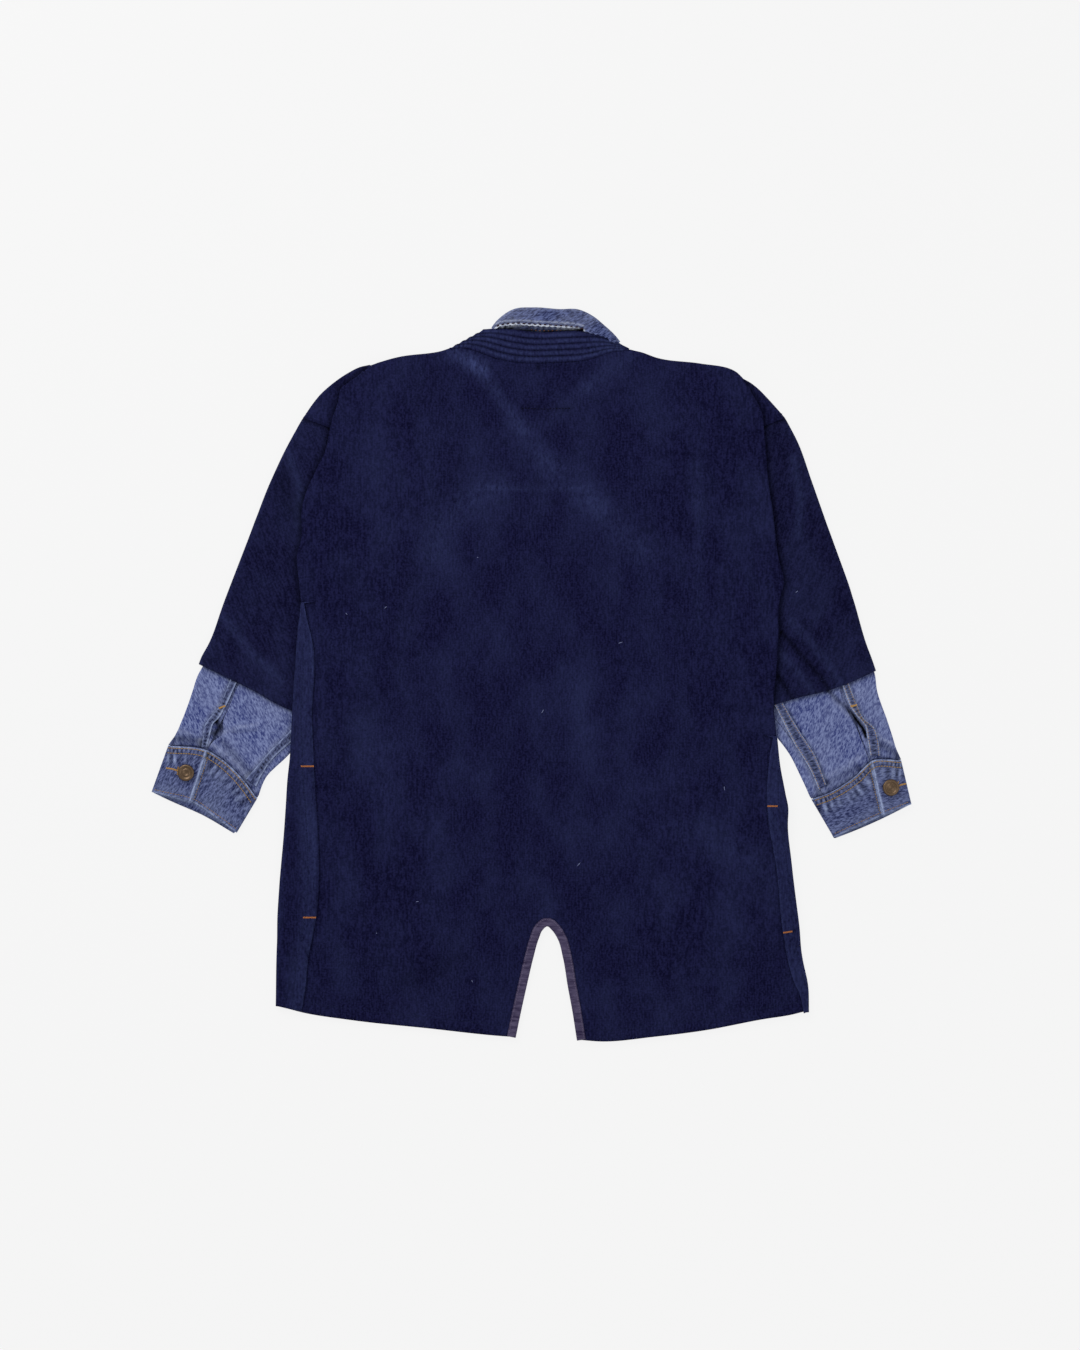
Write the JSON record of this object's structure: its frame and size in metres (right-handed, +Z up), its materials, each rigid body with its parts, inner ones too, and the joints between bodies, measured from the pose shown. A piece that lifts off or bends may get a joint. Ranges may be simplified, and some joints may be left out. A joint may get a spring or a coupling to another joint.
{
  "type": "hybrid noragi coat with denim collar and sleeves",
  "caption": "Navy quilted-weave cotton coat with worn denim collar, lower sleeves and buttoned cuffs, laid flat face down with its back up and a bound vent at the hem.",
  "frame": {"origin": "on the surface under the middle of the whole outline", "axes": "+X to the coat's right sleeve, +Y to the collar, +Z up from the surface, out of the coat's back"},
  "size_m": [0.8199, 0.7917, 0.0161],
  "materials": {
    "sashiko_navy": "thick navy cotton woven with a rice-grain pattern, faded to blue-grey along its folds",
    "denim_blue": "washed mid-blue denim, pale along seams and edges, sewn in orange-tan thread",
    "grosgrain_brown": "ribbed purple-brown binding tape",
    "pocket_cotton": "plain cotton pocketing",
    "antique_brass": "dark antique brass, rubbed bright on the rim"
  },
  "bodies": {
    "root": {"back": "sashiko_navy", "front_left": "sashiko_navy", "front_right": "sashiko_navy", "front_band_left": "sashiko_navy", "front_band_right": "sashiko_navy", "shoulder_left": "sashiko_navy", "shoulder_right": "sashiko_navy", "sleeve_left": "sashiko_navy", "sleeve_right": "sashiko_navy", "neck_band": "sashiko_navy", "denim_top_left": "denim_blue", "denim_under_left": "denim_blue", "cuff_left": "denim_blue", "cuff_button_left": "antique_brass", "pocket_left": "pocket_cotton", "denim_top_right": "denim_blue", "denim_under_right": "denim_blue", "cuff_right": "denim_blue", "cuff_button_right": "antique_brass", "pocket_right": "pocket_cotton", "denim_collar": "denim_blue", "vent_binding": "grosgrain_brown"}
  },
  "joints": []
}
